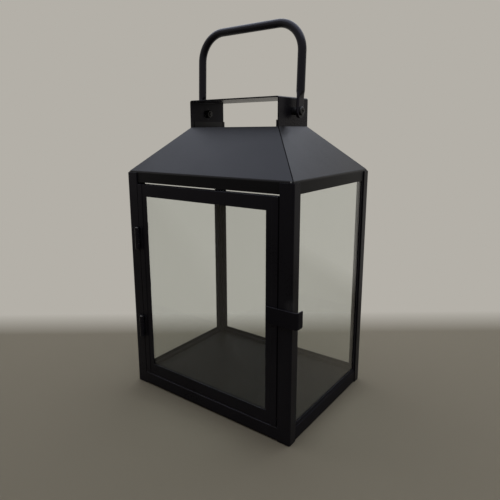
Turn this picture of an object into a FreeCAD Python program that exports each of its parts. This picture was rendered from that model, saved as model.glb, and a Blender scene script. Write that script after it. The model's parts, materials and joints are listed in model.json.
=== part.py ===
import FreeCAD, Part
import math
import os

# A hipped steel and glass lantern with a hinged front door and a folding carrying handle.
# Millimetres. X is the width, -Y is the door side, +Z is up. The origin is the middle of the underside.

V = FreeCAD.Vector
os.makedirs("parts", exist_ok=True)

# The body as a whole
body_width = 200.0
body_depth = 150.0
post_height = 235.4
frame_sheet = 0.8

# Corner posts, folded from sheet, with a stepped lip that holds the edge of a side pane
post_face_front = 13.5
post_face_back = 11.5
post_side = 10.0
post_edge_radius = 1.8
lip_width = 3.2
lip_width_back = 3.7
lip_recess = 1.3
door_stop_width = 3.0
door_stop_play = 0.5

# The base: a flat plate with a folded rail along each side, and a raised tray for the candle
floor_sheet = 1.0
rim_height = 13.5
rail_lip_height = 3.3
rail_inset = 0.7
front_rail_inset = 0.1
floor_inset = 2.4
front_ledge_depth = 9.0
rail_edge_radius = 0.5
tray_height = 10.0
tray_play = 0.4
tray_edge_radius = 0.8

# Panes, which stand in slots in the posts and rails
glass_thickness = 2.2
slot_play = 0.3
pane_edge_play = 0.5
pane_tuck = 5.0

# The roof: one sheet, with skirts folded down and two flanges folded up at its opening
roof_sheet = 0.8
skirt_height = 11.0
roof_rise = 43.5
roof_bend_inside = 2.2
seam_gap = 0.2
hip_seam_width = 0.9
hip_seam_depth = 0.6
hole_flange_height = 6.0
hole_flange_gap = 0.6

# The chimney band, an arch of sheet over the roof's opening
chimney_width = 108.0
chimney_depth = 52.9
chimney_height = 27.0
band_sheet = 1.2
band_bend_inside = 0.8

# The door: two stiles and two rails, all folded from sheet, with a pane right behind their faces
door_side_gap = 1.0
door_bottom_gap = 1.0
door_top_gap = 1.8
door_proud = 0.4
door_frame_width = 12.2
door_frame_depth = 7.9
door_step_width = 6.2
door_step_depth = 0.5
door_edge_radius = 0.4
door_glass_overlap = 4.0
clip_sheet = 0.6
clip_height = 8.0
clip_grip = 2.3
clip_count = 3

# The clasp: a flat strap, bent back beside the post that the door closes on
clasp_sheet = 1.0
clasp_height = 15.2
clasp_raise = 1.3
clasp_inset = 1.0
clasp_stand_off = 5.2
clasp_return = 9.4
clasp_bend_inside = 1.8
clasp_corner_radius = 1.0

# Door hinges, each of two leaves and a pin
hinge_height = 23.0
hinge_above_door_bottom = 54.8
hinge_below_door_top = 56.7
barrel_wall = 1.23
barrel_clearance = 0.3
leaf_sheet = 1.0
post_leaf_width = 8.6
door_leaf_width = 5.6
leaf_corner_radius = 1.0
knuckle_gap = 0.2
pin_radius = 1.25
pin_head_overhang = 0.65
pin_head_height = 0.8
running_clearance = 0.08
fixed_clearance = 0.02

# The handle: a bent tube with flattened ends, on a screw at each side of the chimney band
handle_diameter = 8.0
handle_reach = 80.6
handle_bend_radius = 27.0
handle_lean_degrees = 2.3
pivot_above_roof = 14.0
tab_thickness = 2.8
tab_length = 12.0
tab_blend_length = 5.0
tab_margin = 4.4
screw_radius = 2.0
screw_head_overhang = 2.0
screw_head_height = 2.0
screw_head_rounding = 1.0
screw_tip = 1.3
cross_width = 1.1
cross_length = 4.6
cross_depth = 1.2
nut_wall = 1.5
nut_height = 3.2
nut_chamfer = 0.5
spacer_length = 5.0
spacer_wall = 1.45
side_play = 0.1
hole_play = 0.15

# How far a cutting solid runs past what it cuts
overrun = 5.0

# Places worked out from the sizes above
half_width = body_width / 2
half_depth = body_depth / 2
front = -half_depth
rail_lip_top = rim_height + rail_lip_height
eave_height = post_height + lip_recess
skirt_bottom = eave_height - skirt_height
roof_top = eave_height + roof_rise
chimney_top = roof_top + chimney_height
band_inner = chimney_width / 2 - band_sheet
pivot_height = roof_top + pivot_above_roof
pane_recess = lip_recess + frame_sheet
slot_inner = pane_recess + glass_thickness + slot_play
pane_bottom = floor_sheet + frame_sheet + slot_play
pane_top = skirt_bottom + pane_tuck
door_half = half_width - post_face_front - door_side_gap
door_bottom = rim_height + door_bottom_gap
door_top = skirt_bottom - door_top_gap
door_face = front - door_proud
door_glass_face = door_face + door_step_depth + frame_sheet
clasp_middle = (door_bottom + door_top) / 2 + clasp_raise
post_box_depth = door_frame_depth - door_proud + door_stop_play + frame_sheet
post_box_width_back = post_face_back - lip_width_back
barrel_radius = pin_radius + fixed_clearance + barrel_wall
lower_hinge_middle = door_bottom + hinge_above_door_bottom
upper_hinge_middle = door_top - hinge_below_door_top
hinge_x = -door_half - door_side_gap / 2
hinge_y = door_face - barrel_clearance - barrel_radius
handle_leg = chimney_width / 2 + spacer_length + side_play + tab_thickness / 2
tab_outer = handle_leg + tab_thickness / 2


def block(x0, x1, y0, y1, z0, z1):
    """A box between two opposite corners, in any order."""
    corner = V(min(x0, x1), min(y0, y1), min(z0, z1))
    return Part.makeBox(abs(x1 - x0), abs(y1 - y0), abs(z1 - z0), corner)


def rod(radius, start, end):
    """A cylinder from one point to another."""
    return Part.makeCylinder(radius, (end - start).Length, start, end - start)


def joined(solids):
    """One solid from pieces that touch or overlap."""
    return solids[0].fuse(solids[1:]).removeSplitter()


def rounded(solid, radius, picks):
    """Rounds the edges that picks chooses by their two ends."""
    edges = [edge for edge in solid.Edges
             if len(edge.Vertexes) > 1 and picks(edge.Vertexes[0].Point, edge.Vertexes[1].Point)]
    return solid.makeFillet(radius, edges)


def near(a, b):
    """True where two lengths are the same but for rounding."""
    return math.isclose(a, b, rel_tol=1e-9, abs_tol=1e-6 * frame_sheet)


def save(name, shape):
    """Writes one sub-part to its own file."""
    if not shape.isValid():
        raise ValueError(name + " is not a valid shape")
    shape.exportStep("parts/" + name + ".step")
    print(name, len(shape.Solids), round(shape.Volume, 1))


def corner_block(side, end, a0, a1, b0, b1, z0, z1):
    """A box measured inwards from a corner of the body: a along X, b along Y."""
    return block(side * (half_width - a0), side * (half_width - a1),
                 end * (half_depth - b0), end * (half_depth - b1), z0, z1)


def round_post_corner(solid, side, end):
    """Rounds a post's corner edge outside and inside, as the fold in the sheet is."""
    for depth in (0, frame_sheet):
        x, y = side * (half_width - depth), end * (half_depth - depth)

        def picks(p, q):
            return near(p.x, x) and near(q.x, x) and near(p.y, y) and near(q.y, y)
        solid = rounded(solid, post_edge_radius - depth, picks)
    return solid


def side_slot(side, end):
    """The step, lip and inner leg that hold the edge of a side pane."""
    step = corner_block(side, end, 0, pane_recess, post_side - frame_sheet, post_side, 0, post_height)
    lip = corner_block(side, end, lip_recess, pane_recess, post_side - frame_sheet, post_side + lip_width,
                       rail_lip_top, skirt_bottom)
    leg = corner_block(side, end, slot_inner, slot_inner + frame_sheet, post_box_depth - frame_sheet,
                       post_side + lip_width, rim_height, post_height)
    return [step, lip, leg]


def front_post(side):
    """A post beside the door: a closed box with a stop that the door shuts against."""
    face, depth, sheet = post_face_front, post_box_depth, frame_sheet
    pieces = [
        corner_block(side, -1, 0, face, 0, sheet, 0, post_height),
        corner_block(side, -1, 0, sheet, 0, post_side, 0, post_height),
        corner_block(side, -1, face - sheet, face, 0, depth, 0, post_height),
        corner_block(side, -1, 0, face, depth - sheet, depth, 0, post_height),
        corner_block(side, -1, 0, face + door_stop_width, depth - sheet, depth, rim_height, post_height),
    ]
    return round_post_corner(joined(pieces + side_slot(side, -1)), side, -1)


def back_post(side):
    """A post at the back: a closed box with slots for a side pane and the back pane."""
    face, width, depth, sheet = post_face_back, post_box_width_back, post_box_depth, frame_sheet
    pieces = [
        corner_block(side, 1, 0, face, 0, sheet, 0, post_height),
        corner_block(side, 1, 0, sheet, 0, post_side, 0, post_height),
        corner_block(side, 1, width - sheet, width, 0, depth, 0, post_height),
        corner_block(side, 1, 0, width, depth - sheet, depth, 0, post_height),
        corner_block(side, 1, width - sheet, face, lip_recess, pane_recess, 0, post_height),
        corner_block(side, 1, width - sheet, face, slot_inner, slot_inner + sheet, 0, post_height),
    ]
    return round_post_corner(joined(pieces + side_slot(side, 1)), side, 1)


def floor_plate():
    """The bottom plate, set in under the rails and notched round the four posts."""
    width, depth = half_width - floor_inset, half_depth - floor_inset
    plate = block(-width, width, -depth, depth, 0, floor_sheet)
    notches = []
    for side in (-1, 1):
        for end, face in ((-1, post_face_front), (1, post_face_back)):
            notches.append(corner_block(side, end, -overrun, face, -overrun, post_side, -overrun, overrun))
    return plate.cut(notches)


def candle_tray():
    """The raised tray inside: a sheet with its edges folded down, cut away round the back posts."""
    side = half_width - slot_inner - frame_sheet - tray_play
    near_edge = front + front_ledge_depth + tray_play
    far_edge = half_depth - slot_inner - frame_sheet - tray_play

    def slab(inset, top):
        solid = block(inset - side, side - inset, near_edge + inset, far_edge - inset, floor_sheet, top)
        width = post_box_width_back + tray_play + inset
        depth = post_box_depth + tray_play + inset
        return solid.cut([corner_block(end, 1, 0, width, 0, depth, 0, post_height) for end in (-1, 1)])

    def picks(p, q):
        along_front = near(p.y, near_edge) and near(q.y, near_edge)
        along_side = near(p.x, q.x) and near(abs(p.x), side)
        return near(p.z, tray_height) and near(q.z, tray_height) and (along_front or along_side)
    tray = slab(0, tray_height).cut(slab(frame_sheet, tray_height - frame_sheet))
    return rounded(tray, tray_edge_radius, picks)


def pane_rail_outline():
    """Section of a rail that carries a pane: boxes of distance inwards and height."""
    sheet = frame_sheet
    return [
        (rail_inset, rail_inset + sheet, floor_sheet, rim_height),
        (rail_inset, pane_recess, rim_height - sheet, rim_height),
        (lip_recess, pane_recess, rim_height - sheet, rail_lip_top),
        (rail_inset, slot_inner + sheet, floor_sheet, floor_sheet + sheet),
        (slot_inner, slot_inner + sheet, floor_sheet, rim_height),
    ]


def front_rail_outline():
    """Section of the rail under the door, with a flat ledge on top."""
    sheet = frame_sheet
    return [
        (front_rail_inset, front_rail_inset + sheet, floor_sheet, rim_height),
        (front_rail_inset, front_ledge_depth, rim_height - sheet, rim_height),
        (front_ledge_depth - sheet, front_ledge_depth, floor_sheet, rim_height),
    ]


def side_rail(side):
    """A rail along the left or right of the base."""
    reach = half_depth - post_side
    pieces = [block(side * (half_width - u0), side * (half_width - u1), -reach, reach, z0, z1)
              for u0, u1, z0, z1 in pane_rail_outline()]

    def picks(p, q):
        return all(near(r.z, rim_height) and near(abs(r.x), half_width - rail_inset) for r in (p, q))
    return rounded(joined(pieces), rail_edge_radius, picks)


def end_rail(end, outline, post_face, inset):
    """A rail along the front or back of the base."""
    reach = half_width - post_face
    pieces = [block(-reach, reach, end * (half_depth - u0), end * (half_depth - u1), z0, z1)
              for u0, u1, z0, z1 in outline]

    def picks(p, q):
        return all(near(r.z, rim_height) and near(abs(r.y), half_depth - inset) for r in (p, q))
    return rounded(joined(pieces), rail_edge_radius, picks)


def side_pane(side):
    """A side pane, standing in the slots of two posts and a rail."""
    reach = half_depth - post_box_depth - pane_edge_play
    outer = half_width - pane_recess
    return block(side * outer, side * (outer - glass_thickness), -reach, reach, pane_bottom, pane_top)


def back_pane():
    """The back pane, in the slots of the back posts and rail."""
    reach = half_width - post_box_width_back - pane_edge_play
    outer = half_depth - pane_recess
    return block(-reach, reach, outer, outer - glass_thickness, pane_bottom, pane_top)


def roof_prism(half_foot, half_top, offset, length, axis_is_x):
    """A long gabled solid with rounded eaves. The offset moves each face inwards by that much."""
    run = half_foot - half_top
    slope = math.hypot(run, roof_rise)
    foot = half_foot - offset
    # The offset slope starts where it meets the offset skirt
    eave = eave_height - offset * (slope - roof_rise) / run
    bottom = skirt_bottom
    top = roof_top
    if offset > 0:
        bottom = skirt_bottom - overrun
        top = roof_top + overrun
    ridge = foot - (top - eave) * run / roof_rise
    outline = [(-foot, bottom), (-foot, eave), (-ridge, top), (ridge, top), (foot, eave), (foot, bottom)]
    if axis_is_x:
        points = [V(-length, u, z) for u, z in outline]
        path = V(2 * length, 0, 0)
    else:
        points = [V(u, -length, z) for u, z in outline]
        path = V(0, 2 * length, 0)
    solid = Part.Face(Part.makePolygon(points + [points[0]])).extrude(path)

    def picks(p, q):
        return near(p.z, eave) and near(q.z, eave)
    return rounded(solid, roof_bend_inside + roof_sheet - offset, picks)


def hip_seam(side, end):
    """The thin groove along one hip, where the sheets of two slopes meet."""
    foot = V(side * (half_width - lip_recess), end * (half_depth - lip_recess), eave_height)
    top = V(side * chimney_width / 2, end * chimney_depth / 2, roof_top)
    along = (top - foot).normalize()
    across = along.cross(V(0, 0, 1)).normalize()
    inwards = along.cross(across).normalize()
    if inwards.z > 0:
        inwards = -inwards
    start = foot - along * overrun - across * (hip_seam_width / 2)
    finish = top + along * overrun - across * (hip_seam_width / 2)
    points = [start - inwards * overrun, finish - inwards * overrun,
              finish + inwards * hip_seam_depth, start + inwards * hip_seam_depth]
    return Part.Face(Part.makePolygon(points + [points[0]])).extrude(across * hip_seam_width)


def roof_shell():
    """The hipped roof as one sheet, with its skirts, corner notches and opening flanges."""
    def hipped(offset):
        across = roof_prism(half_depth - lip_recess, chimney_depth / 2, offset, body_width, True)
        along = roof_prism(half_width - lip_recess, chimney_width / 2, offset, body_width, False)
        return across.common(along)
    shell = hipped(0).cut(hipped(roof_sheet))
    notches = []
    for side in (-1, 1):
        for end, face in ((-1, post_face_front), (1, post_face_back)):
            notches.append(corner_block(side, end, -overrun, face + seam_gap, -overrun, post_side + seam_gap,
                                        skirt_bottom - overrun, post_height))
    seams = [hip_seam(side, end) for side in (-1, 1) for end in (-1, 1)]
    shell = shell.cut(notches + seams)
    reach = chimney_depth / 2
    outer = band_inner - hole_flange_gap
    flanges = []
    for side in (-1, 1):
        flanges.append(block(side * outer, side * (outer - roof_sheet), -reach, reach,
                             roof_top, roof_top + hole_flange_height))
        flanges.append(block(side * chimney_width / 2, side * (outer - roof_sheet), -reach, reach,
                             roof_top - roof_sheet, roof_top))
    return joined([shell] + flanges)


def chimney_band():
    """The arch of sheet over the opening, with a screw hole in each wall."""
    def arch(offset, radius, low):
        half = chimney_width / 2 - offset
        reach = chimney_depth / 2 + offset
        solid = block(-half, half, -reach, reach, low, chimney_top - offset)

        def picks(p, q):
            return near(p.x, q.x) and all(near(r.z, chimney_top - offset) for r in (p, q))
        return rounded(solid, radius, picks)
    band = arch(0, band_bend_inside + band_sheet, roof_top)
    band = band.cut(arch(band_sheet, band_bend_inside, roof_top - overrun))
    hole = rod(screw_radius + hole_play, pivot_point(-1, chimney_width), pivot_point(1, chimney_width))
    return band.cut(hole)


def channel_outline(stepped):
    """Section of a door member: boxes of distance in from the door's edge, and back from its face."""
    sheet, width, step = frame_sheet, door_frame_width, door_step_depth
    outline = [(0, width, step, step + sheet)]
    if stepped:
        outline.append((0, sheet, 0, door_frame_depth))
        outline.append((0, door_step_width, 0, sheet))
        outline.append((door_step_width - sheet, door_step_width, 0, step + sheet))
    else:
        outline.append((0, sheet, step, door_frame_depth))
    return outline


def door_stile(side):
    """An upright member of the door, with its ends closed."""
    outline = channel_outline(True)
    pieces = [block(side * (door_half - u0), side * (door_half - u1), door_face + v0, door_face + v1,
                    door_bottom, door_top) for u0, u1, v0, v1 in outline]
    for z0, z1 in ((door_bottom, door_bottom + frame_sheet), (door_top - frame_sheet, door_top)):
        pieces.append(block(side * door_half, side * (door_half - door_frame_width),
                            door_face + door_step_depth, door_face + door_frame_depth, z0, z1))

    def picks(p, q):
        return all(near(r.y, door_face) and near(abs(r.x), door_half) for r in (p, q))
    return rounded(joined(pieces), door_edge_radius, picks)


def door_rail(edge, inwards):
    """A level member of the door, between the stiles. Inwards is +1 at the bottom and -1 at the top."""
    reach = door_half - door_frame_width
    pieces = [block(-reach, reach, door_face + v0, door_face + v1, edge + inwards * u0, edge + inwards * u1)
              for u0, u1, v0, v1 in channel_outline(False)]

    def picks(p, q):
        return all(near(r.y, door_face + door_step_depth) and near(r.z, edge) for r in (p, q))
    return rounded(joined(pieces), door_edge_radius, picks)


def door_pane():
    """The door's pane, flat against the back of its frame's faces."""
    reach = door_half - door_frame_width + door_glass_overlap
    margin = door_frame_width - door_glass_overlap
    return block(-reach, reach, door_glass_face, door_glass_face + glass_thickness, door_bottom + margin,
                 door_top - margin)


def door_clips():
    """Bent tabs inside the stiles that keep the door's pane in."""
    back = door_glass_face + glass_thickness
    tip = door_half - door_frame_width + door_glass_overlap - clip_grip
    spacing = (door_top - door_bottom - 2 * door_frame_width) / clip_count
    clips = []
    for side in (-1, 1):
        wall = door_half - frame_sheet
        for n in range(clip_count):
            z = door_bottom + door_frame_width + spacing * (n + 1 / 2)
            low, high = z - clip_height / 2, z + clip_height / 2
            end = back + clip_sheet
            foot = block(side * wall, side * (wall - clip_sheet), door_glass_face, end, low, high)
            arm = block(side * wall, side * tip, back, end, low, high)
            clips.append(joined([foot, arm]))
    return Part.makeCompound(clips)


def door_clasp():
    """The strap from the door's stile past the post, with its end bent back."""
    start = door_half - door_frame_width + clasp_inset
    outer = half_width + clasp_stand_off + clasp_sheet
    face = door_face - clasp_sheet
    low, high = clasp_middle - clasp_height / 2, clasp_middle + clasp_height / 2
    strap = block(start, outer, face, door_face, low, high)
    leg = block(outer - clasp_sheet, outer, face, face + clasp_return, low, high)
    solid = joined([strap, leg])

    def outer_bend(p, q):
        return all(near(r.x, outer) and near(r.y, face) for r in (p, q))

    def inner_bend(p, q):
        return all(near(r.x, outer - clasp_sheet) and near(r.y, door_face) for r in (p, q))

    def free_corners(p, q):
        strap_end = near(p.x, start) and near(q.x, start) and near(p.z, q.z)
        leg_end = near(p.y, face + clasp_return) and near(q.y, face + clasp_return) and near(p.z, q.z)
        return strap_end or leg_end
    solid = rounded(solid, clasp_bend_inside + clasp_sheet, outer_bend)
    solid = rounded(solid, clasp_bend_inside, inner_bend)
    return rounded(solid, clasp_corner_radius, free_corners)


def hinge_parts(middle):
    """The post leaf, door leaf and pin of one hinge."""
    low, high = middle - hinge_height / 2, middle + hinge_height / 2
    knuckle = (hinge_height - 2 * knuckle_gap) / 3
    door_low, door_high = middle - knuckle / 2, middle + knuckle / 2

    def barrel(radius, z0, z1):
        return rod(radius, V(hinge_x, hinge_y, z0), V(hinge_x, hinge_y, z1))

    def knuckle_on(side, seat, z0, z1):
        # The barrel, with the sheet that curls up to it from the leaf
        neck = block(hinge_x, hinge_x + side * barrel_radius, hinge_y, seat, z0, z1)
        return joined([barrel(barrel_radius, z0, z1), neck])

    def clear_of(z0, z1):
        reach = barrel_radius + barrel_clearance
        return block(hinge_x - reach, hinge_x + reach, hinge_y - reach, front, z0, z1)

    def leaf(solid, free_edge):
        def picks(p, q):
            return near(p.x, free_edge) and near(q.x, free_edge) and near(p.z, q.z)
        return rounded(solid, leaf_corner_radius, picks)
    post_plate = leaf(block(hinge_x - post_leaf_width, hinge_x, front - leaf_sheet, front, low, high),
                      hinge_x - post_leaf_width)
    post_plate = post_plate.cut(clear_of(door_low - knuckle_gap, door_high + knuckle_gap))
    post_leaf = joined([post_plate, knuckle_on(-1, front, low, low + knuckle),
                        knuckle_on(-1, front, high - knuckle, high)])
    post_leaf = post_leaf.cut(barrel(pin_radius + fixed_clearance, low - overrun, high + overrun))
    door_plate = leaf(block(hinge_x, hinge_x + door_leaf_width, door_face - leaf_sheet, door_face, low, high),
                      hinge_x + door_leaf_width)
    door_plate = door_plate.cut([clear_of(low - overrun, door_low), clear_of(door_high, high + overrun)])
    door_leaf = joined([door_plate, knuckle_on(1, door_face, door_low, door_high)])
    door_leaf = door_leaf.cut(barrel(pin_radius + running_clearance, low - overrun, high + overrun))
    head_radius = pin_radius + pin_head_overhang
    pin = joined([barrel(pin_radius, low, high), barrel(head_radius, high, high + pin_head_height),
                  barrel(head_radius, low - pin_head_height, low)])
    return post_leaf, door_leaf, pin


def oval_wire(half_thick, half_wide, z):
    """A flattened tube's outline at one height: two flats along Y, and two half rounds."""
    flat = half_wide - half_thick
    signs = [(1, -1), (1, 1), (-1, 1), (-1, -1)]
    points = [V(across * half_thick, along * flat, z) for across, along in signs]
    edges = [
        Part.LineSegment(points[0], points[1]).toShape(),
        Part.Arc(points[1], V(0, half_wide, z), points[2]).toShape(),
        Part.LineSegment(points[2], points[3]).toShape(),
        Part.Arc(points[3], V(0, -half_wide, z), points[0]).toShape(),
    ]
    return Part.Wire(edges)


def ring_wire(radius, z):
    """A circle in four arcs that match the four edges of the flattened outline."""
    diagonal = radius * math.sqrt(1 / 2)
    turns = [V(radius, 0, z), V(0, radius, z), V(-radius, 0, z), V(0, -radius, z)]
    signs = [(1, -1), (1, 1), (-1, 1), (-1, -1)]
    points = [V(across * diagonal, along * diagonal, z) for across, along in signs]
    edges = [Part.Arc(points[n], turns[n], points[(n + 1) % 4]).toShape() for n in range(4)]
    return Part.Wire(edges)


def handle_bail():
    """The bent tube with its flattened ends, leaning back as it stands."""
    radius = handle_diameter / 2
    half_thick = tab_thickness / 2
    # Flattening keeps the tube's way round, so the tab grows as wide as the tube loses thickness
    half_wide = (math.pi * handle_diameter - (math.pi - 2) * tab_thickness) / 4
    tab_end = screw_radius + tab_margin
    start = tab_length + tab_blend_length
    knee = handle_reach - handle_bend_radius
    bend = handle_bend_radius
    centre = handle_leg - bend
    corner = bend * math.sqrt(1 / 2)
    left = [V(-handle_leg, 0, start), V(-handle_leg, 0, knee), V(-centre - corner, 0, knee + corner),
            V(-centre, 0, handle_reach)]
    right = [V(-p.x, p.y, p.z) for p in reversed(left)]
    path = Part.Wire([
        Part.LineSegment(left[0], left[1]).toShape(),
        Part.Arc(left[1], left[2], left[3]).toShape(),
        Part.LineSegment(left[3], right[0]).toShape(),
        Part.Arc(right[0], right[1], right[2]).toShape(),
        Part.LineSegment(right[2], right[3]).toShape(),
    ])
    profile = Part.Wire([Part.makeCircle(radius, V(-handle_leg, 0, start), V(0, 0, 1))])
    pieces = [path.makePipeShell([profile], True, False)]
    for side in (-1, 1):
        place = V(side * handle_leg, 0, 0)
        blend = Part.makeLoft([ring_wire(radius, start), oval_wire(half_thick, half_wide, tab_length)], True)
        flat = Part.Face(oval_wire(half_thick, half_wide, -tab_end)).extrude(V(0, 0, tab_length + tab_end))
        end_centre = half_wide - tab_end
        shape = joined([block(-half_thick, half_thick, -half_wide, half_wide, end_centre, tab_length),
                        rod(half_wide, V(-half_thick, 0, end_centre), V(half_thick, 0, end_centre))])
        tab = flat.common(shape)
        for piece in (blend, tab):
            piece.translate(place)
            pieces.append(piece)
    bail = joined(pieces)
    bail = bail.cut(rod(screw_radius + running_clearance, V(-body_width, 0, 0), V(body_width, 0, 0)))
    bail.rotate(V(0, 0, 0), V(1, 0, 0), -handle_lean_degrees)
    bail.translate(V(0, 0, pivot_height))
    return bail


def pivot_point(side, distance):
    """A point on the handle's pivot line, at a distance out from the middle."""
    return V(side * distance, 0, pivot_height)


def handle_screw(side):
    """A pan-head screw with a cross slot."""
    under = tab_outer + side_play
    top = under + screw_head_height
    head = rod(screw_radius + screw_head_overhang, pivot_point(side, under), pivot_point(side, top))
    rims = [edge for edge in head.Edges
            if near(abs(edge.BoundBox.Center.x), top) and near(edge.BoundBox.XLength, 0) and edge.Closed]
    head = head.makeFillet(screw_head_rounding, rims)
    tip = band_inner - nut_height - screw_tip
    shank = rod(screw_radius, pivot_point(side, tip), pivot_point(side, under))
    screw = joined([head, shank])
    for long_y, long_z in ((cross_length, cross_width), (cross_width, cross_length)):
        screw = screw.cut(block(side * (top - cross_depth), side * (top + overrun), -long_y / 2, long_y / 2,
                                pivot_height - long_z / 2, pivot_height + long_z / 2))
    return screw


def handle_spacer(side):
    """The sleeve that keeps the handle clear of the band."""
    start, end = pivot_point(side, chimney_width / 2), pivot_point(side, chimney_width / 2 + spacer_length)
    bore = screw_radius + hole_play
    return rod(bore + spacer_wall, start, end).cut(rod(bore, start, end))


def handle_nut(side):
    """The nut inside the band, with its corners taken off."""
    start, end = pivot_point(side, band_inner - nut_height), pivot_point(side, band_inner)
    to_corner = (screw_radius + nut_wall) / math.cos(math.pi / 6)
    turns = [n * math.pi / 3 for n in range(7)]
    corners = [start + V(0, to_corner * math.cos(turn), to_corner * math.sin(turn)) for turn in turns]
    prism = Part.Face(Part.makePolygon(corners)).extrude(end - start)
    drum = rod(to_corner, start, end)
    drum = drum.makeChamfer(nut_chamfer, [edge for edge in drum.Edges if near(edge.BoundBox.XLength, 0)])
    return prism.common(drum).cut(rod(screw_radius + fixed_clearance, start, end))


save("base_floor", floor_plate())
save("candle_tray", candle_tray())
save("base_rail_front", end_rail(-1, front_rail_outline(), post_face_front, front_rail_inset))
save("base_rail_back", end_rail(1, pane_rail_outline(), post_face_back, rail_inset))
save("roof_shell", roof_shell())
save("chimney_band", chimney_band())
save("glass_back", back_pane())
for side, word in ((-1, "left"), (1, "right")):
    save("base_rail_" + word, side_rail(side))
    save("post_front_" + word, front_post(side))
    save("post_back_" + word, back_post(side))
    save("glass_" + word, side_pane(side))
    save("handle_screw_" + word, handle_screw(side))
    save("handle_spacer_" + word, handle_spacer(side))
    save("handle_nut_" + word, handle_nut(side))
save("door_stile_hinge", door_stile(-1))
save("door_stile_clasp", door_stile(1))
save("door_rail_bottom", door_rail(door_bottom, 1))
save("door_rail_top", door_rail(door_top, -1))
save("door_glass", door_pane())
save("door_glass_clips", door_clips())
save("door_clasp", door_clasp())
for middle, word in ((lower_hinge_middle, "lower"), (upper_hinge_middle, "upper")):
    post_leaf, door_leaf, pin = hinge_parts(middle)
    save("hinge_post_leaf_" + word, post_leaf)
    save("hinge_door_leaf_" + word, door_leaf)
    save("hinge_pin_" + word, pin)
save("handle_bail", handle_bail())
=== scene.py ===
import json
import math

import bmesh
import bpy
import numpy as np
from mathutils import Matrix, Vector


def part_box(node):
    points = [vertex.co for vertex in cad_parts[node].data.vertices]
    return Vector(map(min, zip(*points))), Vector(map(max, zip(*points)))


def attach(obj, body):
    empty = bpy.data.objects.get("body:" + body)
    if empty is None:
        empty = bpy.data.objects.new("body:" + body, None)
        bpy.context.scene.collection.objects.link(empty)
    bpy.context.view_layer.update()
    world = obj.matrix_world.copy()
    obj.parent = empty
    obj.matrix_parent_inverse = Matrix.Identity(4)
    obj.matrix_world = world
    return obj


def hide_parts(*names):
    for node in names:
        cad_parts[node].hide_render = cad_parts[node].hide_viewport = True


# A black sheet-metal lantern with clear panes, a hinged door and a folding handle.
# Metres throughout, but for the shapes of the handle, screws, nuts, spacers and hinge pins, in millimetres.

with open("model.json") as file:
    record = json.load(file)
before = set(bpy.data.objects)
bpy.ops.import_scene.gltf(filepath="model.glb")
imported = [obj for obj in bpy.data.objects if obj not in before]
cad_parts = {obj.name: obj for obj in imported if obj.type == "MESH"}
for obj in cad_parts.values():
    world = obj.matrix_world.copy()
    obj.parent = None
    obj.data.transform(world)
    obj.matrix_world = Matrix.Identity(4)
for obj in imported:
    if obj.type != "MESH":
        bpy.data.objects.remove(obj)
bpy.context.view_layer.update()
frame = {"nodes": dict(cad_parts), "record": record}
nodes = frame["nodes"]
mm = 0.001
print("frame loaded with", len(nodes), "nodes")


# Small tools for materials

def feed(tree, socket, value):
    # Links the value where it is a socket itself, and sets it otherwise
    if isinstance(value, bpy.types.NodeSocket):
        tree.links.new(value, socket)
    else:
        socket.default_value = value


def addNode(tree, kind, inputs, **settings):
    # One shader node, with its inputs given by name or number
    node = tree.nodes.new(kind)
    for name, value in settings.items():
        setattr(node, name, value)
    for name, value in inputs.items():
        feed(tree, node.inputs[name], value)
    return node


def combine(tree, operation, first, second):
    # first (operation) second, for numbers
    return addNode(tree, "ShaderNodeMath", {0: first, 1: second}, operation=operation).outputs[0]


def vectorNode(tree, operation, *points):
    # The same for points: its outputs are "Vector" and, for a length or product, "Value"
    return addNode(tree, "ShaderNodeVectorMath", dict(enumerate(points)), operation=operation)


def remap(tree, value, span, low=0.0, high=1.0):
    # Straight line from low, at the start of the span, to high, at its end, and held beyond both
    inputs = {"Value": value, "From Min": span[0], "From Max": span[1], "To Min": low, "To Max": high}
    return addNode(tree, "ShaderNodeMapRange", inputs).outputs["Result"]


def blendColour(tree, share, first, second):
    # first * (1 - share) + second * share; a Mix node's colours are its inputs 6 and 7 and its output 2
    return addNode(tree, "ShaderNodeMix", {0: share, 6: first, 7: second}, data_type="RGBA").outputs[2]


def noise(tree, place, scale, detail, roughness=0.5):
    inputs = {"Vector": place, "Scale": scale, "Detail": detail, "Roughness": roughness}
    return addNode(tree, "ShaderNodeTexNoise", inputs).outputs["Fac"]


def startMaterial(name):
    material = bpy.data.materials.new(name)
    material.use_nodes = True
    tree = material.node_tree
    tree.nodes.clear()
    place = tree.nodes.new("ShaderNodeTexCoord").outputs["Object"]
    output = tree.nodes.new("ShaderNodeOutputMaterial")
    return material, tree, place, output


# Powder coats

coatGrain = {                # the same in every coat
    "driftDetail": 4.0,
    "driftRoughness": 0.55,
    "peelDetail": 2.0,
    "toneSpan": (0.35, 0.65),        # the part of the drift that goes from the dark tone to the light one
    "roughSpan": (0.3, 0.7),
    "peelRough": 0.03,       # the orange peel adds or takes this much roughness
    "nibFrom": 0.86,         # one cell in seven holds a nib
    "nibFade": (0.03, 0.07),         # from a nib's middle to its edge
    "nibTone": 0.7,
    "nibHeight": 0.8,        # beside 1 for the peel
    "bump": 0.35,
    "peelHeight": 0.00004,
}
powderCoat = {
    "dark": (0.0130, 0.0120, 0.0150, 1),
    "light": (0.0170, 0.0158, 0.0195, 1),
    "nib": (0.020, 0.020, 0.021, 1),
    "driftScale": 16.0,      # slow change of tone, per metre
    "peelScale": 750.0,      # the coat's orange peel
    "nibScale": 210.0,       # dust nibs caught in the coat
    "roughLow": 0.27,
    "roughHigh": 0.35,
    "specular": 0.12,
    "tint": (0.80, 0.80, 1.0, 1),    # of the coat's shine
}
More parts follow.
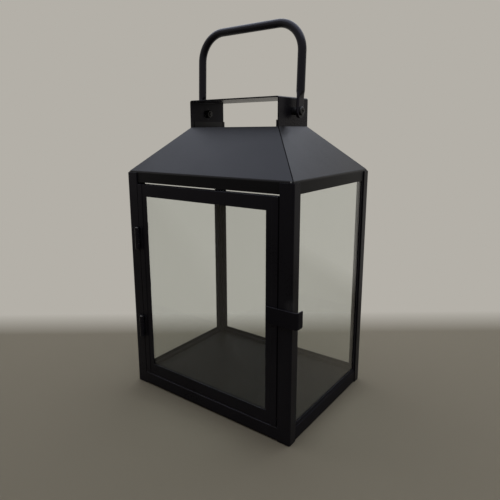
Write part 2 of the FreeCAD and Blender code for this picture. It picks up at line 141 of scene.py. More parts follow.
# The roof's coat: its slopes get a higher specular level than its skirts, a painted sheen where the light
# from above falls
roofLook = {
    **powderCoat,
    "dark": (0.0066, 0.0062, 0.0070, 1),
    "light": (0.0096, 0.0091, 0.0101, 1),
    "roughLow": 0.35,
    "roughHigh": 0.43,
    "specular": 0.27,        # on the slopes
    "tint": (0.90, 0.91, 1.0, 1),
    "paintedSheenSpan": (0.2352, 0.2362),    # heights; under them the skirts get about the posts' specular level, and above them the slopes carry a painted sheen
    "specularBelowSheen": 0.11,
}
handleLook = {**powderCoat, "specular": 0.25}
railLook = {**powderCoat, "specular": 0.05, "roughLow": 0.40, "roughHigh": 0.48}
claspHighlightLook = {                # a painted highlight along its upper edge, from a high specular level above a height
    **railLook,
    "specular": 0.65,
    "paintedSheenSpan": (0.1277, 0.1280),
    "specularBelowSheen": 0.05,
}
sillHighlightLook = {                 # a painted highlight along the bend under the door, from a high specular level above a height
    **powderCoat,
    "specular": 0.62,
    "paintedSheenSpan": (0.0130, 0.0132),
    "specularBelowSheen": 0.12,
}
trayLook = {                 # sooty and dusty
    **powderCoat,
    "dark": (0.0040, 0.0036, 0.0032, 1),
    "light": (0.0125, 0.0115, 0.0096, 1),
    "nib": (0.036, 0.033, 0.028, 1),
    "driftScale": 95.0,      # patches of soot and dust
    "nibScale": 150.0,
    "roughLow": 0.42,
    "roughHigh": 0.60,
    "specular": 0.03,
    "tint": (1.0, 0.97, 0.92, 1),
}


def dustNibs(tree, place, scale):
    # Cells of a Voronoi pattern, of which a few hold a dot: 1 in its middle, falling to 0 at its edge
    cells = addNode(tree, "ShaderNodeTexVoronoi", {"Vector": place, "Scale": scale})
    chosen = addNode(tree, "ShaderNodeSeparateColor", {"Color": cells.outputs["Color"]}).outputs["Red"]
    holdsNib = combine(tree, "GREATER_THAN", chosen, coatGrain["nibFrom"])
    dot = remap(tree, cells.outputs["Distance"], coatGrain["nibFade"], 1.0, 0.0)
    return combine(tree, "MULTIPLY", dot, holdsNib)


def shineOf(tree, place, look):
    # The specular level: one value, or a lower one up to a height and the look's own above it, which paints
    # a sheen on what lies above
    if "paintedSheenSpan" not in look:
        return look["specular"]
    height = addNode(tree, "ShaderNodeSeparateXYZ", {"Vector": place}).outputs["Z"]
    return remap(tree, height, look["paintedSheenSpan"], look["specularBelowSheen"], look["specular"])


postScuff = {                # thin diagonal rubs in one small patch, just above the clasp's end
    "point": (0.0992, -0.0745, 0.1315),
    "fade": (0.003, 0.008),  # distances over which they die away
    "lineScale": 260.0,
    "wander": 4.0,
    "wanderDetail": 2.0,
    "lineSpan": (0.82, 0.97),        # the top of each wave is a line
    "strength": 0.8,
    "smoother": 0.15,        # roughness that a rub takes off
    "colour": (0.17, 0.17, 0.178, 1),
}


def rubLines(tree, place, scuff):
    # Crests of a wavy pattern of diagonal bands, times 1 near the point and 0 away from it
    inputs = {"Vector": place, "Scale": scuff["lineScale"], "Distortion": scuff["wander"],
              "Detail": scuff["wanderDetail"]}
    bands = addNode(tree, "ShaderNodeTexWave", inputs, bands_direction="DIAGONAL").outputs["Fac"]
    gap = vectorNode(tree, "DISTANCE", place, scuff["point"]).outputs["Value"]
    near = remap(tree, gap, scuff["fade"], 1.0, 0.0)
    return combine(tree, "MULTIPLY", remap(tree, bands, scuff["lineSpan"]), near)


roofCornerHighlight = {                 # a painted highlight: a pale fleck, the colour of bare metal, on the roof's near corner tip
    "point": (0.0963, -0.0735, 0.2363),
    "size": 0.0013,
    "soft": 0.1,             # its edge, as a part of its size
    "raggedScale": 1500.0,
    "raggedDetail": 2.0,
    "colour": (0.42, 0.41, 0.39, 1),
}


def paintedHighlightArea(tree, place, paintedHighlight):
    # 1 where the distance to the point, plus noise times size, is less than size
    size, soft = paintedHighlight["size"], paintedHighlight["soft"]
    ragged = combine(tree, "MULTIPLY", noise(tree, place, paintedHighlight["raggedScale"], paintedHighlight["raggedDetail"]), size)
    gap = vectorNode(tree, "DISTANCE", place, paintedHighlight["point"]).outputs["Value"]
    return remap(tree, combine(tree, "ADD", gap, ragged), (size * (1 - soft), size * (1 + soft)), 1.0, 0.0)


hipSeamShade = {                  # painted shade of the open joint along each hip: a near-black line with little shine
    "corner": (0.0987, 0.0737, 0.0),         # where the hips start, seen from above
    "across": (0.7265, -0.6873, 0.0),        # level direction at right angles to the hip
    "fade": (0.00028, 0.00052),      # from the dark middle to the coat
    "tone": (0.002, 0.002, 0.002, 1),
    "shine": 0.1,            # share of the shine that is left in it
}


def seamShadeArea(tree, place, seamShade):
    # 1 where abs((abs(place) - corner) . across) is small: abs(place) folds the four hips on to one
    folded = vectorNode(tree, "ABSOLUTE", place).outputs["Vector"]
    fromCorner = vectorNode(tree, "SUBTRACT", folded, seamShade["corner"]).outputs["Vector"]
    across = vectorNode(tree, "DOT_PRODUCT", fromCorner, seamShade["across"]).outputs["Value"]
    gap = addNode(tree, "ShaderNodeMath", {0: across}, operation="ABSOLUTE").outputs[0]
    return remap(tree, gap, seamShade["fade"], 1.0, 0.0)


def paintedMetal(name, look, scuff=None, paintedHighlight=None, seamShade=None):
    # Satin powder coat: two close tones, orange peel, sparse nibs, and, where they are asked for, rubs, a
    # painted highlight and the painted shade of a seam
    material, tree, place, output = startMaterial(name)
    drift = noise(tree, place, look["driftScale"], coatGrain["driftDetail"], coatGrain["driftRoughness"])
    peel = noise(tree, place, look["peelScale"], coatGrain["peelDetail"])
    nib = dustNibs(tree, place, look["nibScale"])
    tone = blendColour(tree, remap(tree, drift, coatGrain["toneSpan"]), look["dark"], look["light"])
    tone = blendColour(tree, combine(tree, "MULTIPLY", nib, coatGrain["nibTone"]), tone, look["nib"])
    rough = remap(tree, drift, coatGrain["roughSpan"], look["roughLow"], look["roughHigh"])
    peelRough = remap(tree, peel, coatGrain["roughSpan"], -coatGrain["peelRough"], coatGrain["peelRough"])
    rough = combine(tree, "ADD", rough, peelRough)
    shine = shineOf(tree, place, look)
    if scuff:
        rubbed = rubLines(tree, place, scuff)
        bright = combine(tree, "MULTIPLY", rubbed, scuff["strength"])
        tone = blendColour(tree, bright, tone, scuff["colour"])
        rough = combine(tree, "SUBTRACT", rough, combine(tree, "MULTIPLY", rubbed, scuff["smoother"]))
    # a painted highlight, the colour of bare metal
    if paintedHighlight:
        tone = blendColour(tree, paintedHighlightArea(tree, place, paintedHighlight), tone, paintedHighlight["colour"])
    # painted shade in the hip seams: near-black, with most of the shine taken out
    if seamShade:
        joint = seamShadeArea(tree, place, seamShade)
        tone = blendColour(tree, joint, tone, seamShade["tone"])
        shine = combine(tree, "MULTIPLY", shine, remap(tree, joint, (0.0, 1.0), 1.0, seamShade["shine"]))
    height = combine(tree, "ADD", peel, combine(tree, "MULTIPLY", nib, coatGrain["nibHeight"]))
    bump = addNode(tree, "ShaderNodeBump", {
        "Height": height, "Strength": coatGrain["bump"], "Distance": coatGrain["peelHeight"]})
    shader = addNode(tree, "ShaderNodeBsdfPrincipled", {
        "Base Color": tone, "Roughness": rough, "Normal": bump.outputs["Normal"],
        "Specular IOR Level": shine, "Specular Tint": look["tint"]})
    tree.links.new(shader.outputs["BSDF"], output.inputs["Surface"])
    return material


# Glass and hardware

floatGlass = {
    "tint": (0.955, 0.975, 0.965, 1),
    "through": (0.90, 0.92, 0.91, 1),        # what it lets through of a lamp's light
    "smudgeScale": 26.0,
    "smudgeDetail": 5.0,
    "smudgeRoughness": 0.6,
    "smudgeSpan": (0.52, 0.75),
    "roughMost": 0.05,
    "ior": 1.5,
}


def paneGlass(name, look):
    # Clear glass with faint wiping marks. Lamps shine through it as through an open frame, a little dimmed.
    material, tree, place, output = startMaterial(name)
    smudge = noise(tree, place, look["smudgeScale"], look["smudgeDetail"], look["smudgeRoughness"])
    rough = remap(tree, smudge, look["smudgeSpan"], 0.0, look["roughMost"])
    shader = addNode(tree, "ShaderNodeBsdfPrincipled", {
        "Base Color": look["tint"], "Roughness": rough, "IOR": look["ior"], "Transmission Weight": 1.0})
    dimmed = addNode(tree, "ShaderNodeBsdfTransparent", {"Color": look["through"]})
    lamp = tree.nodes.new("ShaderNodeLightPath").outputs["Is Shadow Ray"]
    mixed = addNode(tree, "ShaderNodeMixShader", {
        0: lamp, 1: shader.outputs["BSDF"], 2: dimmed.outputs["BSDF"]})
    tree.links.new(mixed.outputs["Shader"], output.inputs["Surface"])
    return material


blackFastener = {
    "dark": (0.016, 0.016, 0.018, 1),
    "light": (0.028, 0.028, 0.031, 1),
    "metallic": 0.35,
    "rough": (0.28, 0.42),
    "patchScale": 420.0,
    "patchDetail": 4.0,
    "patchRoughness": 0.6,
    "toneSpan": (0.35, 0.65),
    "roughSpan": (0.3, 0.7),
    "streakScale": 2600.0,
    "streakDetail": 2.0,
    "streakHeight": 0.00002,
    "bump": 0.3,
}
bareSteel = {
    **blackFastener,
    "dark": (0.08, 0.077, 0.074, 1),
    "light": (0.15, 0.144, 0.138, 1),
    "metallic": 1.0,
    "rough": (0.3, 0.45),
}


def turnedMetal(name, look):
    # Plated or bare metal with fine streaks and a patchy shine
    material, tree, place, output = startMaterial(name)
    patch = noise(tree, place, look["patchScale"], look["patchDetail"], look["patchRoughness"])
    streak = noise(tree, place, look["streakScale"], look["streakDetail"])
    tone = blendColour(tree, remap(tree, patch, look["toneSpan"]), look["dark"], look["light"])
    rough = remap(tree, patch, look["roughSpan"], *look["rough"])
    bump = addNode(tree, "ShaderNodeBump", {
        "Height": streak, "Strength": look["bump"], "Distance": look["streakHeight"]})
    shader = addNode(tree, "ShaderNodeBsdfPrincipled", {
        "Base Color": tone, "Roughness": rough, "Metallic": look["metallic"],
        "Normal": bump.outputs["Normal"]})
    tree.links.new(shader.outputs["BSDF"], output.inputs["Surface"])
    return material


coat = paintedMetal("blackPowderCoat", powderCoat)
handleCoat = paintedMetal("handlePowderCoat", handleLook)
railCoat = paintedMetal("railPowderCoat", railLook)
# The sill's coat carries a painted highlight along its bend
sillHighlightCoat = paintedMetal("sillPaintedHighlightCoat", sillHighlightLook)
# The clasp's coat carries a painted highlight along its upper edge
claspHighlightCoat = paintedMetal("claspPaintedHighlightCoat", claspHighlightLook)
trayCoat = paintedMetal("trayPowderCoat", trayLook)
scuffedCoat = paintedMetal("scuffedPowderCoat", powderCoat, scuff=postScuff)
# The roof's coat carries a painted sheen on its slopes, a painted highlight on its near corner and painted
# shade in its hip seams
roofCoat = paintedMetal("roofPowderCoat", roofLook, paintedHighlight=roofCornerHighlight, seamShade=hipSeamShade)
glass = paneGlass("clearFloatGlass", floatGlass)
blackPlating = turnedMetal("blackPlating", blackFastener)
steel = turnedMetal("bareSteel", bareSteel)
print("materials made")


# Sheet parts and panes: merged copies of the frame's own shapes, with the soft edges of a real coat

softEdges = {
    "sheet": 0.00018,        # powder coat rounds a cut edge by about this much
    "hardware": 0.00012,
    "pane": 0.00035,         # the ground edge of a pane
    "sharpFrom": 30.0,       # degrees between two faces
    "segments": 2,
    "mergeWithin": 0.000002,
    "flatWithin": 0.4,       # degrees; faces that differ by less are one
}


def camel(name):
    # door_rail_top becomes doorRailTop
    words = name.split("_")
    return words[0] + "".join(word.capitalize() for word in words[1:])


def addPiece(name, mesh):
    piece = bpy.data.objects.new(name, mesh)
    bpy.context.scene.collection.objects.link(piece)
    return piece


def takePlace(piece, nodeName):
    # The piece stands for the node, which it hides, and rides on the node's body
    record = frame["record"]
    bodies = record["behaviour"]["bodies"]
    home = next(body for body, members in bodies.items() if nodeName in members)
    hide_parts(nodeName)
    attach(piece, home)


def softened(nodeName, edge, material, ending):
    # The node's faces joined up, flat faces made whole, and every sharp edge rolled over by edge
    mesh = bpy.data.meshes.new(camel(nodeName) + ending)
    work = bmesh.new()
    work.from_mesh(nodes[nodeName].data)
    bmesh.ops.remove_doubles(work, verts=work.verts, dist=softEdges["mergeWithin"])
    flat = math.radians(softEdges["flatWithin"])
    bmesh.ops.dissolve_limit(work, angle_limit=flat, verts=work.verts, edges=work.edges)
    work.to_mesh(mesh)
    work.free()
    if "custom_normal" in mesh.attributes:
        mesh.attributes.remove(mesh.attributes["custom_normal"])
    mesh.shade_smooth()
    mesh.materials.clear()
    mesh.materials.append(material)
    piece = addPiece(mesh.name, mesh)
    bevel = piece.modifiers.new("softEdge", "BEVEL")
    bevel.width = edge
    bevel.segments = softEdges["segments"]
    bevel.limit_method = "ANGLE"
    bevel.angle_limit = math.radians(softEdges["sharpFrom"])
    bevel.use_clamp_overlap = True
    weigh = piece.modifiers.new("flatFaces", "WEIGHTED_NORMAL")
    weigh.keep_sharp = False
    takePlace(piece, nodeName)


dressings = [                # edge, material, ending of the piece's name, nodes
    ("sheet", coat, "Sheet", [
        "base_floor", "post_front_left", "post_back_left", "post_back_right", "chimney_band",
        "door_stile_hinge", "door_stile_clasp", "door_rail_top", "door_rail_bottom"]),
    ("hardware", coat, "Strip", [
        "door_glass_clips", "hinge_post_leaf_lower", "hinge_post_leaf_upper",
        "hinge_door_leaf_lower", "hinge_door_leaf_upper"]),
    ("hardware", claspHighlightCoat, "Strip", ["door_clasp"]),
    ("sheet", railCoat, "Sheet", ["base_rail_back", "base_rail_left", "base_rail_right"]),
    ("sheet", scuffedCoat, "Sheet", ["post_front_right"]),
    ("sheet", sillHighlightCoat, "Sheet", ["base_rail_front"]),
    ("sheet", roofCoat, "Sheet", ["roof_shell"]),
    ("sheet", trayCoat, "Sheet", ["candle_tray"]),
    ("pane", glass, "Pane", ["glass_left", "glass_right", "glass_back", "door_glass"]),
]
for edgeKind, material, ending, parts in dressings:
    for part in parts:
        softened(part, softEdges[edgeKind], material, ending)
print("sheet parts and panes made")


# New pieces: surfaces worked out on a grid of two parameters

gridEdges = {"sharpFrom": 35.0, "mergeWithin": 0.0000001}        # degrees, metres


def gridPiece(name, grid, material, nodeName=None, loops=False):
    # grid[row, column] are points. Columns close round; rows close too where loops is true.
    rows, columns = grid.shape[:2]
    i, j = np.meshgrid(np.arange(rows if loops else rows - 1), np.arange(columns), indexing="ij")
    here, beyond = i * columns, (i + 1) % rows * columns       # first points of this row and of the next
    nextColumn = (j + 1) % columns
    faces = np.stack([here + j, here + nextColumn, beyond + nextColumn, beyond + j], axis=-1).reshape(-1, 4)
    mesh = bpy.data.meshes.new(name)
    mesh.from_pydata(grid.reshape(-1, 3).tolist(), [], faces.tolist())
    work = bmesh.new()
    work.from_mesh(mesh)
    bmesh.ops.remove_doubles(work, verts=work.verts, dist=gridEdges["mergeWithin"])
    bmesh.ops.recalc_face_normals(work, faces=work.faces)
    work.to_mesh(mesh)
    work.free()
    mesh.shade_smooth()
    mesh.set_sharp_from_angle(angle=math.radians(gridEdges["sharpFrom"]))
    mesh.materials.append(material)
    piece = addPiece(name, mesh)
    if nodeName:
        takePlace(piece, nodeName)
    return piece


def ringAngles(count):
    # count angles, evenly round from 0
    return np.arange(count) * 2 * math.pi / count


def allRound(values, angle):
    # One row for each value, which is the same at every angle
    return np.asarray(values)[:, None] + 0 * angle


def ease(t):
    # 3 t^2 - 2 t^3 between 0 and 1
    t = np.clip(t, 0.0, 1.0)
    return t * t * (3.0 - 2.0 * t)


# Handle

handleShape = {              # millimetres, from the pivot line
    "legOut": 60.5,
    "reach": 80.6,
    "bendRadius": 27.0,
    "tubeRadius": 4.0,
    "tabHalfThick": 1.4,     # the flattened end of a leg
    "tabHalfWide": 5.484,
    "tabEnd": 6.4,           # how far it goes past the pivot line
    "tabTop": 11.5,          # from here up to roundFrom the flat turns round
    "roundFrom": 18.5,
    "uncut": 9.0,            # a half width that cuts nothing off
    "hole": 2.08,            # radius
    "holeCut": 12.0,
    "leanDegrees": 2.3,
    "pivotHeight": 294.2,
    "around": 80,            # points round the section
    "aroundHole": 64,
    "endRings": 20,
    "tabRings": 10,
    "turningRings": 30,
    "legRings": 16,
    "bendRings": 36,
    "topRings": 24,
}


def handleSurface(shape):
    # A tube swept up one leg, round a quarter circle, across, and down again in mirror image.
    # Its section is (1 - w) * oval + w * circle, where w is eased from 0 to 1 up the leg. The oval is two
    # straight sides joined by half circles. Below its last full width the sides are cut to a half round.
    tube, halfThick, halfWide = shape["tubeRadius"], shape["tabHalfThick"], shape["tabHalfWide"]
    leg, bend, reach = shape["legOut"], shape["bendRadius"], shape["reach"]
    tabTop, roundFrom, uncut = shape["tabTop"], shape["roundFrom"], shape["uncut"]
    knee = reach - bend
    half = leg - bend
    endCentre = halfWide - shape["tabEnd"]

    # places up the leg, angles round the bend, and places across
    swing = np.linspace(0.0, math.pi / 2, shape["endRings"])
    up = np.concatenate([
        endCentre - halfWide * np.cos(swing),
        np.linspace(endCentre, tabTop, shape["tabRings"])[1:],
        np.linspace(tabTop, roundFrom, shape["turningRings"])[1:],
        np.linspace(roundFrom, knee, shape["legRings"])[1:],
    ])
    turn = np.linspace(0.0, math.pi / 2, shape["bendRings"])[1:]
    middle = np.linspace(-half, half, shape["topRings"])[1:-1]
    pastLeg = turn.size + middle.size

    # centre line (x, z), outward normal (nx, nz), roundness and cut half width, of the left half and the top
    x = np.concatenate([np.full(up.size, -leg), -half - bend * np.cos(turn), middle])
    z = np.concatenate([up, knee + bend * np.sin(turn), np.full(middle.size, reach)])
    nx = np.concatenate([np.full(up.size, -1.0), -np.cos(turn), np.zeros(middle.size)])
    nz = np.concatenate([np.zeros(up.size), np.sin(turn), np.ones(middle.size)])
    roundness = np.concatenate([ease((up - tabTop) / (roundFrom - tabTop)), np.ones(pastLeg)])
    below = np.clip(endCentre - up, 0.0, halfWide)
    halfRound = np.sqrt(np.clip(halfWide ** 2 - below ** 2, 0.0, None))
    cut = np.where(z > endCentre, uncut, np.concatenate([halfRound, np.full(pastLeg, uncut)]))

    # the right half is the left half's mirror image, in the opposite order
    mirror = slice(up.size + turn.size - 1, None, -1)
    x = np.concatenate([x, -x[mirror]])
    z = np.concatenate([z, z[mirror]])
    nx = np.concatenate([nx, -nx[mirror]])
    nz = np.concatenate([nz, nz[mirror]])
    roundness = np.concatenate([roundness, roundness[mirror]])
    cut = np.concatenate([cut, cut[mirror]])

    # section: the circle's point at an angle, and the oval's point that goes with it, quarter by quarter
    angle = ringAngles(shape["around"]) - math.pi / 4
    turned = (angle + math.pi / 4) / (math.pi / 2)
    quarter = np.floor(turned + 1e-9).astype(int) % 4
    share = turned - quarter
    sweep = share * math.pi
    straight = halfWide - halfThick
    firstThree = [quarter == 0, quarter == 1, quarter == 2]
    ovalOut = np.select(
        firstThree,
        [halfThick, halfThick * np.cos(sweep), -halfThick],
        -halfThick * np.cos(sweep))
    ovalWide = np.select(
        firstThree,
        [straight * (2 * share - 1), straight + halfThick * np.sin(sweep), straight * (1 - 2 * share)],
        -straight - halfThick * np.sin(sweep))
    w = roundness[:, None]
    out = (1 - w) * ovalOut + w * tube * np.cos(angle)
    wide = (1 - w) * ovalWide + w * tube * np.sin(angle)
    wide = np.clip(wide, -cut[:, None], cut[:, None])

    # carried along the centre line, then leaned back about the pivot line
    px = x[:, None] + nx[:, None] * out
    pz = z[:, None] + nz[:, None] * out
    lean = math.radians(shape["leanDegrees"])
    py = wide * math.cos(lean) + pz * math.sin(lean)
    pz = pz * math.cos(lean) - wide * math.sin(lean) + shape["pivotHeight"]
    return np.stack([px, py, pz], axis=-1) * mm


def borehole(piece, shape, side):
    # Takes a round hole along the pivot line out of one leg: the cutter is a drum with closed ends
    angle = ringAngles(shape["aroundHole"])
    radius, half = shape["hole"] * mm, shape["holeCut"] * mm / 2
    rim = np.stack([0 * angle, np.cos(angle) * radius, np.sin(angle) * radius], axis=-1)
    centre = np.array([side * shape["legOut"] * mm, 0.0, shape["pivotHeight"] * mm])
    alongX = np.array([1.0, 0.0, 0.0])
    rings = ((0.0, -half), (1.0, -half), (1.0, half), (0.0, half))   # share of the radius, place along X
    grid = np.stack([share * rim + (centre + at * alongX) for share, at in rings])
    cutter = gridPiece("cutter", grid, piece.data.materials[0])
    hole = piece.modifiers.new("hole", "BOOLEAN")
    hole.operation = "DIFFERENCE"
    hole.solver = "EXACT"
    hole.object = cutter
    bpy.context.view_layer.update()
    done = bpy.data.meshes.new_from_object(piece.evaluated_get(bpy.context.evaluated_depsgraph_get()))
    piece.modifiers.remove(hole)
    bpy.data.objects.remove(cutter)
    piece.data = done
    done.set_sharp_from_angle(angle=math.radians(gridEdges["sharpFrom"]))


handle = gridPiece("handleTube", handleSurface(handleShape), handleCoat, "handle_bail")
for side in (-1, 1):
    borehole(handle, handleShape, side)
print("handle made")


# Screws, nuts and spacers on the pivot line

def alongPivot(a, r, angle, start, side):
    # Points at distance a out from start and radius r about the pivot line. The left side is the right side,
    # turned by half a turn about Z.
    x = start + a + 0 * angle
    y = r * np.cos(angle)
    z = handleShape["pivotHeight"] + r * np.sin(angle)
    return np.stack(np.broadcast_arrays(side * x, side * y, z), axis=-1) * mm


screwShape = {               # millimetres, along the screw from the underside of its head
    "start": 62.0,
    "headRadius": 4.0,
    "headHeight": 2.0,
    "dome": 0.3,             # height of the face's middle over its edge
    "rounding": 1.0,         # radius of the rolled edge
    "rimRadii": (4.0, 4.0, 3.95, 3.85),
    "rimHeights": (0.6, 0.2, 0.06, 0.0),
    "seatRadius": 3.0,
    "crossLength": 2.35,
    "crossWidth": 0.62,
    "crossDepth": 1.2,
    "wallRun": 0.18,         # how far the walls of the cross slope in
    "endRun": 0.5,
    "hubRadius": 1.15,
    "hubRun": 0.35,
    "shankRadius": 2.0,
    "shankStart": 0.05,      # the threaded surface starts this far under the head
    "plainLength": 5.5,
    "threadRoot": 1.62,
    "threadStarts": 0.8,     # length over which the thread gets its depth
    "pitch": 0.7,
    "length": 13.7,
    "tipBevel": 0.5,
    "tipRadius": 1.35,
    "around": 168,
    "faceRings": 44,
    "roundingRings": 12,
    "shankRings": 270,
}


def screwSurface(shape, side):
    # Turned profile: domed face, rolled edge, rim, flat seat, threaded shank, bevelled tip.
    # The face's height is headHeight - dome * (r / top)^2, less crossDepth in two crossed bars.
    # The thread's radius is crest - (crest - threadRoot) * triangle wave of (a / pitch - angle / (2 pi)).
    angle = ringAngles(shape["around"])
    rounding, crest, length = shape["rounding"], shape["shankRadius"], shape["length"]
    top = shape["headRadius"] - rounding
    faceRadius = np.linspace(0.0, top, shape["faceRings"])
    faceHeight = shape["headHeight"] - shape["dome"] * (faceRadius / top) ** 2
    roll = np.linspace(0.0, math.pi / 2, shape["roundingRings"])[1:]
    rollRadius = top + rounding * np.sin(roll)
    rollHeight = shape["headHeight"] - shape["dome"] - rounding + rounding * np.cos(roll)
    seatRadius = np.array([shape["seatRadius"], crest])
    radius = allRound(np.concatenate([faceRadius, rollRadius, shape["rimRadii"], seatRadius]), angle)
    height = allRound(np.concatenate([faceHeight, rollHeight, shape["rimHeights"], 0 * seatRadius]), angle)

    # the cross in the face
    level, upright = np.abs(radius * np.cos(angle)), np.abs(radius * np.sin(angle))
    bars = [np.clip((shape["crossWidth"] - across) / shape["wallRun"], 0, 1)
            * np.clip((shape["crossLength"] - along) / shape["endRun"], 0, 1)
            for along, across in ((level, upright), (upright, level))]
    hub = np.clip((shape["hubRadius"] - radius) / shape["hubRun"], 0, 1)
    onFace = (np.arange(height.shape[0]) < faceRadius.size)[:, None]
    height = height - shape["crossDepth"] * (np.maximum(np.maximum(bars[0], bars[1]), hub) * onFace)

    # the shank and its tip
    shankPlaces = np.linspace(-shape["shankStart"], shape["tipBevel"] - length, shape["shankRings"])
    shank = allRound(shankPlaces, angle)
    wave = np.abs(((shank / shape["pitch"] - angle / (2 * math.pi)) % 1.0) * 2 - 1)
    started = ease((-shank - shape["plainLength"]) / shape["threadStarts"])
    threadRadius = crest - (crest - shape["threadRoot"]) * wave * started
    a = np.concatenate([height, shank, allRound([-length, -length], angle)])
    r = np.concatenate([radius, threadRadius, allRound([shape["tipRadius"], 0.0], angle)])
    return alongPivot(a, r, angle, shape["start"], side)


nutShape = {                 # millimetres
    "start": 49.6,
    "height": 3.2,
    "toFlat": 3.5,
    "faceRadius": 3.42,      # of the cone that bevels the corners, at the face
    "coneSlope": 1.73,
    "cornerRings": (0.0, 0.06, 0.12, 0.18, 0.24, 0.3, 0.36, 0.42, 0.6),
    "bore": 2.02,
    "boreBevel": 0.35,
    "around": 120,
}


def nutSurface(shape, side):
    # Closed profile round the bore. The outer radius is the lesser of the hexagon's, which is
    # toFlat / cos(angle from the middle of a flat), and that of a cone that opens from each face.
    angle = ringAngles(shape["around"])
    height, bore, bevel = shape["height"], shape["bore"], shape["boreBevel"]
    fromFlat = (angle + math.pi / 6) % (math.pi / 3) - math.pi / 6
    hexagon = shape["toFlat"] / np.cos(fromFlat)
    corner = np.array(shape["cornerRings"])
    outerAt = np.concatenate([corner, [height / 2], height - corner[::-1]])
    cone = shape["faceRadius"] + shape["coneSlope"] * np.minimum(outerAt, height - outerAt)
    outer = np.minimum(hexagon[None, :], cone[:, None])
    boreAt = [height, height - bevel, bevel, 0.0]
    a = allRound(np.concatenate([outerAt, boreAt]), angle)
    r = np.concatenate([outer, allRound([bore + bevel, bore, bore, bore + bevel], angle)])
    return alongPivot(a, r, angle, shape["start"], side)


spacerShape = {              # millimetres
    "start": 54.0,
    "length": 5.0,
    "bore": 2.15,
    "outer": 3.6,
    "edge": 0.3,             # radius of its rolled edges
    "edgeRings": 6,
    "around": 96,
}


def sleeveSurface(shape, side):
    # Closed profile: bore, end faces, and an outer wall with its two edges rolled by quarter circles
    angle = ringAngles(shape["around"])
    roll = np.linspace(0.0, math.pi / 2, shape["edgeRings"])
    bore, edge, wall, length = shape["bore"], shape["edge"], shape["outer"] - shape["edge"], shape["length"]
    r = np.concatenate([[bore], wall + edge * np.sin(roll), wall + edge * np.cos(roll), [bore]])
    a = np.concatenate([[0.0], edge - edge * np.cos(roll), length - edge + edge * np.sin(roll), [length]])
    return alongPivot(allRound(a, angle), allRound(r, angle), angle, shape["start"], side)


for side, hand in ((-1, "Left"), (1, "Right")):
    screw = screwSurface(screwShape, side)
    nut = nutSurface(nutShape, side)
    spacer = sleeveSurface(spacerShape, side)
    gridPiece("panScrew" + hand, screw, blackPlating, "handle_screw_" + hand.lower())
    gridPiece("hexNut" + hand, nut, blackPlating, "handle_nut_" + hand.lower(), loops=True)
    gridPiece("spacerSleeve" + hand, spacer, blackPlating, "handle_spacer_" + hand.lower(), loops=True)
print("screws, nuts and spacers made")


# Hinge pins

pinShape = {                 # millimetres, from the middle of the pin
    "radius": 1.25,
    "half": 11.5,
    "headRadius": 1.9,
    "headHeight": 0.8,
    "headSide": 0.25,        # the straight part of the head's height, under its dome
    "domeRings": 9,
    "around": 72,
}


def pinSurface(shape, nodeName):
    # Turned about the upright line through the node's middle: dome, head, shank, head, dome
    low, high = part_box(nodeName)
    x, y, z = ((low[axis] + high[axis]) / 2 for axis in range(3))
    roll = np.linspace(0.0, math.pi / 2, shape["domeRings"])
    head = shape["headRadius"] * np.sin(roll)
    dome = shape["half"] + shape["headSide"] + (shape["headHeight"] - shape["headSide"]) * np.cos(roll)
    r = np.concatenate([head, [shape["headRadius"], shape["radius"]]])
    at = np.concatenate([dome, [shape["half"], shape["half"]]])
    r = np.concatenate([r, r[::-1]])[:, None]
    at = np.concatenate([at, -at[::-1]])[:, None]
    angle = ringAngles(shape["around"])
    px, py = x + mm * r * np.cos(angle), y + mm * r * np.sin(angle)
    return np.stack(np.broadcast_arrays(px, py, z + mm * at + 0 * angle), axis=-1)


for level in ("Lower", "Upper"):
    pinNode = "hinge_pin_" + level.lower()
    gridPiece("hingePin" + level, pinSurface(pinShape, pinNode), steel, pinNode)
print("hinge pins made")


# Floor, light and camera

studio = {
    "floorRadius": 5.0,
    "floorDrop": 0.0003,     # just under the lantern
    "floorAround": 96,
    "floorRings": 24,
    "floorColour": (0.26, 0.222, 0.155, 1),
    "floorDark": 0.96,       # share of that colour in the darker clouds
    "cloudScale": 3.0,
    "cloudDetail": 3.0,
    "floorRough": 0.9,
    "floorSpecular": 0.1,
    "wallColour": (0.456, 0.434, 0.392, 1),
    "fill": 0.25,            # share of the wall's brightness that lights matt surfaces
    "backdropWay": (-0.6075, 0.7943, 0.0),   # level direction in which the floor turns into the backdrop
    "backdropSpan": (0.125, 0.20),   # distances that way
    "farSpan": (1.5, 4.0),   # and distances all round at which it does so too
    "panelSize": 2.6,
    "panelPlace": (-0.3, 0.65, 1.3),
    "panelRadiance": 1.45,
    "panelColour": (0.77, 0.84, 1.0),
}


def wallShine(tree):
    # 1 where the backdrop is seen, straight, mirrored or through glass, and fill where it lights paint
    path = tree.nodes.new("ShaderNodeLightPath").outputs
    shown = combine(tree, "MAXIMUM", path["Is Camera Ray"], path["Is Glossy Ray"])
    shown = combine(tree, "MAXIMUM", shown, path["Is Transmission Ray"])
    return remap(tree, shown, (0.0, 1.0), studio["fill"], 1.0)


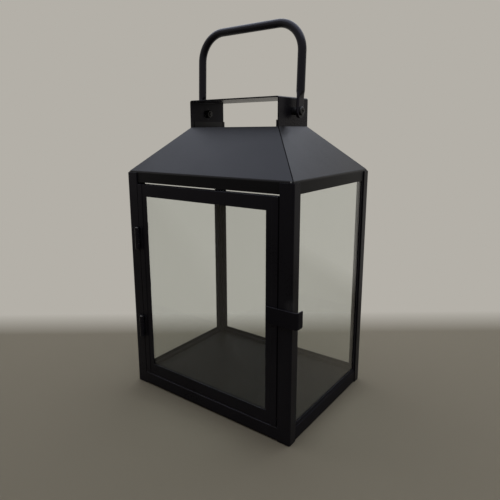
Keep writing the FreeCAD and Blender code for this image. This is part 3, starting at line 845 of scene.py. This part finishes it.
def floorMaterial():
    # A matt floor with faint clouds, which turns into the glowing backdrop behind the lantern and far away
    material, tree, place, output = startMaterial("paleFloor")
    colour = studio["floorColour"]
    darker = tuple(studio["floorDark"] * channel for channel in colour[:3]) + (1,)
    cloud = noise(tree, place, studio["cloudScale"], studio["cloudDetail"])
    shader = addNode(tree, "ShaderNodeBsdfPrincipled", {
        "Base Color": blendColour(tree, cloud, darker, colour), "Roughness": studio["floorRough"],
        "Specular IOR Level": studio["floorSpecular"]})
    wall = addNode(tree, "ShaderNodeEmission", {"Color": studio["wallColour"], "Strength": wallShine(tree)})
    away = vectorNode(tree, "DOT_PRODUCT", place, studio["backdropWay"]).outputs["Value"]
    far = vectorNode(tree, "LENGTH", place).outputs["Value"]
    behind = remap(tree, away, studio["backdropSpan"])
    distant = remap(tree, far, studio["farSpan"])
    share = combine(tree, "MAXIMUM", behind, distant)
    mixed = addNode(tree, "ShaderNodeMixShader", {
        0: share, 1: shader.outputs["BSDF"], 2: wall.outputs["Emission"]})
    tree.links.new(mixed.outputs["Shader"], output.inputs["Surface"])
    return material


def floorDisc():
    # Rings of radius floorRadius * t^2 about the origin
    angle = ringAngles(studio["floorAround"])
    r = (studio["floorRadius"] * np.linspace(0.0, 1.0, studio["floorRings"]) ** 2)[:, None]
    points = np.broadcast_arrays(r * np.cos(angle), r * np.sin(angle), -studio["floorDrop"] + 0 * r * angle)
    floor = gridPiece("studioFloor", np.stack(points, axis=-1), floorMaterial())
    if floor.data.polygons[0].normal.z < 0:
        floor.data.flip_normals()


def studioLight():
    # A pale world that shows as bright as the backdrop, and one large soft panel overhead
    world = bpy.data.worlds.new("studioWorld")
    bpy.context.scene.world = world
    world.use_nodes = True
    tree = world.node_tree
    tree.nodes.clear()
    shine = wallShine(tree)
    back = addNode(tree, "ShaderNodeBackground", {"Color": studio["wallColour"], "Strength": shine})
    output = tree.nodes.new("ShaderNodeOutputWorld")
    tree.links.new(back.outputs["Background"], output.inputs["Surface"])
    lamp = bpy.data.lights.new("ceilingPanel", "AREA")
    lamp.shape = "SQUARE"
    lamp.size = studio["panelSize"]
    lamp.energy = studio["panelRadiance"] * math.pi * studio["panelSize"] ** 2
    lamp.color = studio["panelColour"]
    panel = bpy.data.objects.new("ceilingPanel", lamp)
    panel.location = studio["panelPlace"]
    panel.visible_camera = False
    bpy.context.scene.collection.objects.link(panel)


cameraView = {
    "place": (0.29127, -0.39835, 0.27720),
    "turn": 37.41,           # degrees
    "pitch": 12.22,
    "roll": -0.446,
    "focalPixels": 473.67,
    "frameWidth": 500,       # pixels
    "shift": (0.0241, -0.0346),      # the photograph is a crop, and its middle is off the lens axis
    "sensorWidth": 36.0,
    "nearest": 0.01,
    "furthest": 50.0,
}


def placeCamera(view):
    # Turned about Z, tipped down by pitch, rolled about its own axis
    lens = bpy.data.cameras.new("viewer")
    lens.sensor_width = view["sensorWidth"]
    lens.lens = view["focalPixels"] / view["frameWidth"] * lens.sensor_width
    lens.shift_x, lens.shift_y = view["shift"]
    lens.clip_start = view["nearest"]
    lens.clip_end = view["furthest"]
    camera = bpy.data.objects.new("viewer", lens)
    turned = (Matrix.Rotation(math.radians(view["turn"]), 4, "Z")
              @ Matrix.Rotation(math.radians(90.0 - view["pitch"]), 4, "X")
              @ Matrix.Rotation(math.radians(view["roll"]), 4, "Z"))
    camera.matrix_world = Matrix.Translation(Vector(view["place"])) @ turned
    bpy.context.scene.collection.objects.link(camera)
    bpy.context.scene.camera = camera


floorDisc()
studioLight()
placeCamera(cameraView)
bpy.context.scene.view_settings.view_transform = "Standard"
print("floor, light and camera placed")

bpy.context.view_layer.update()
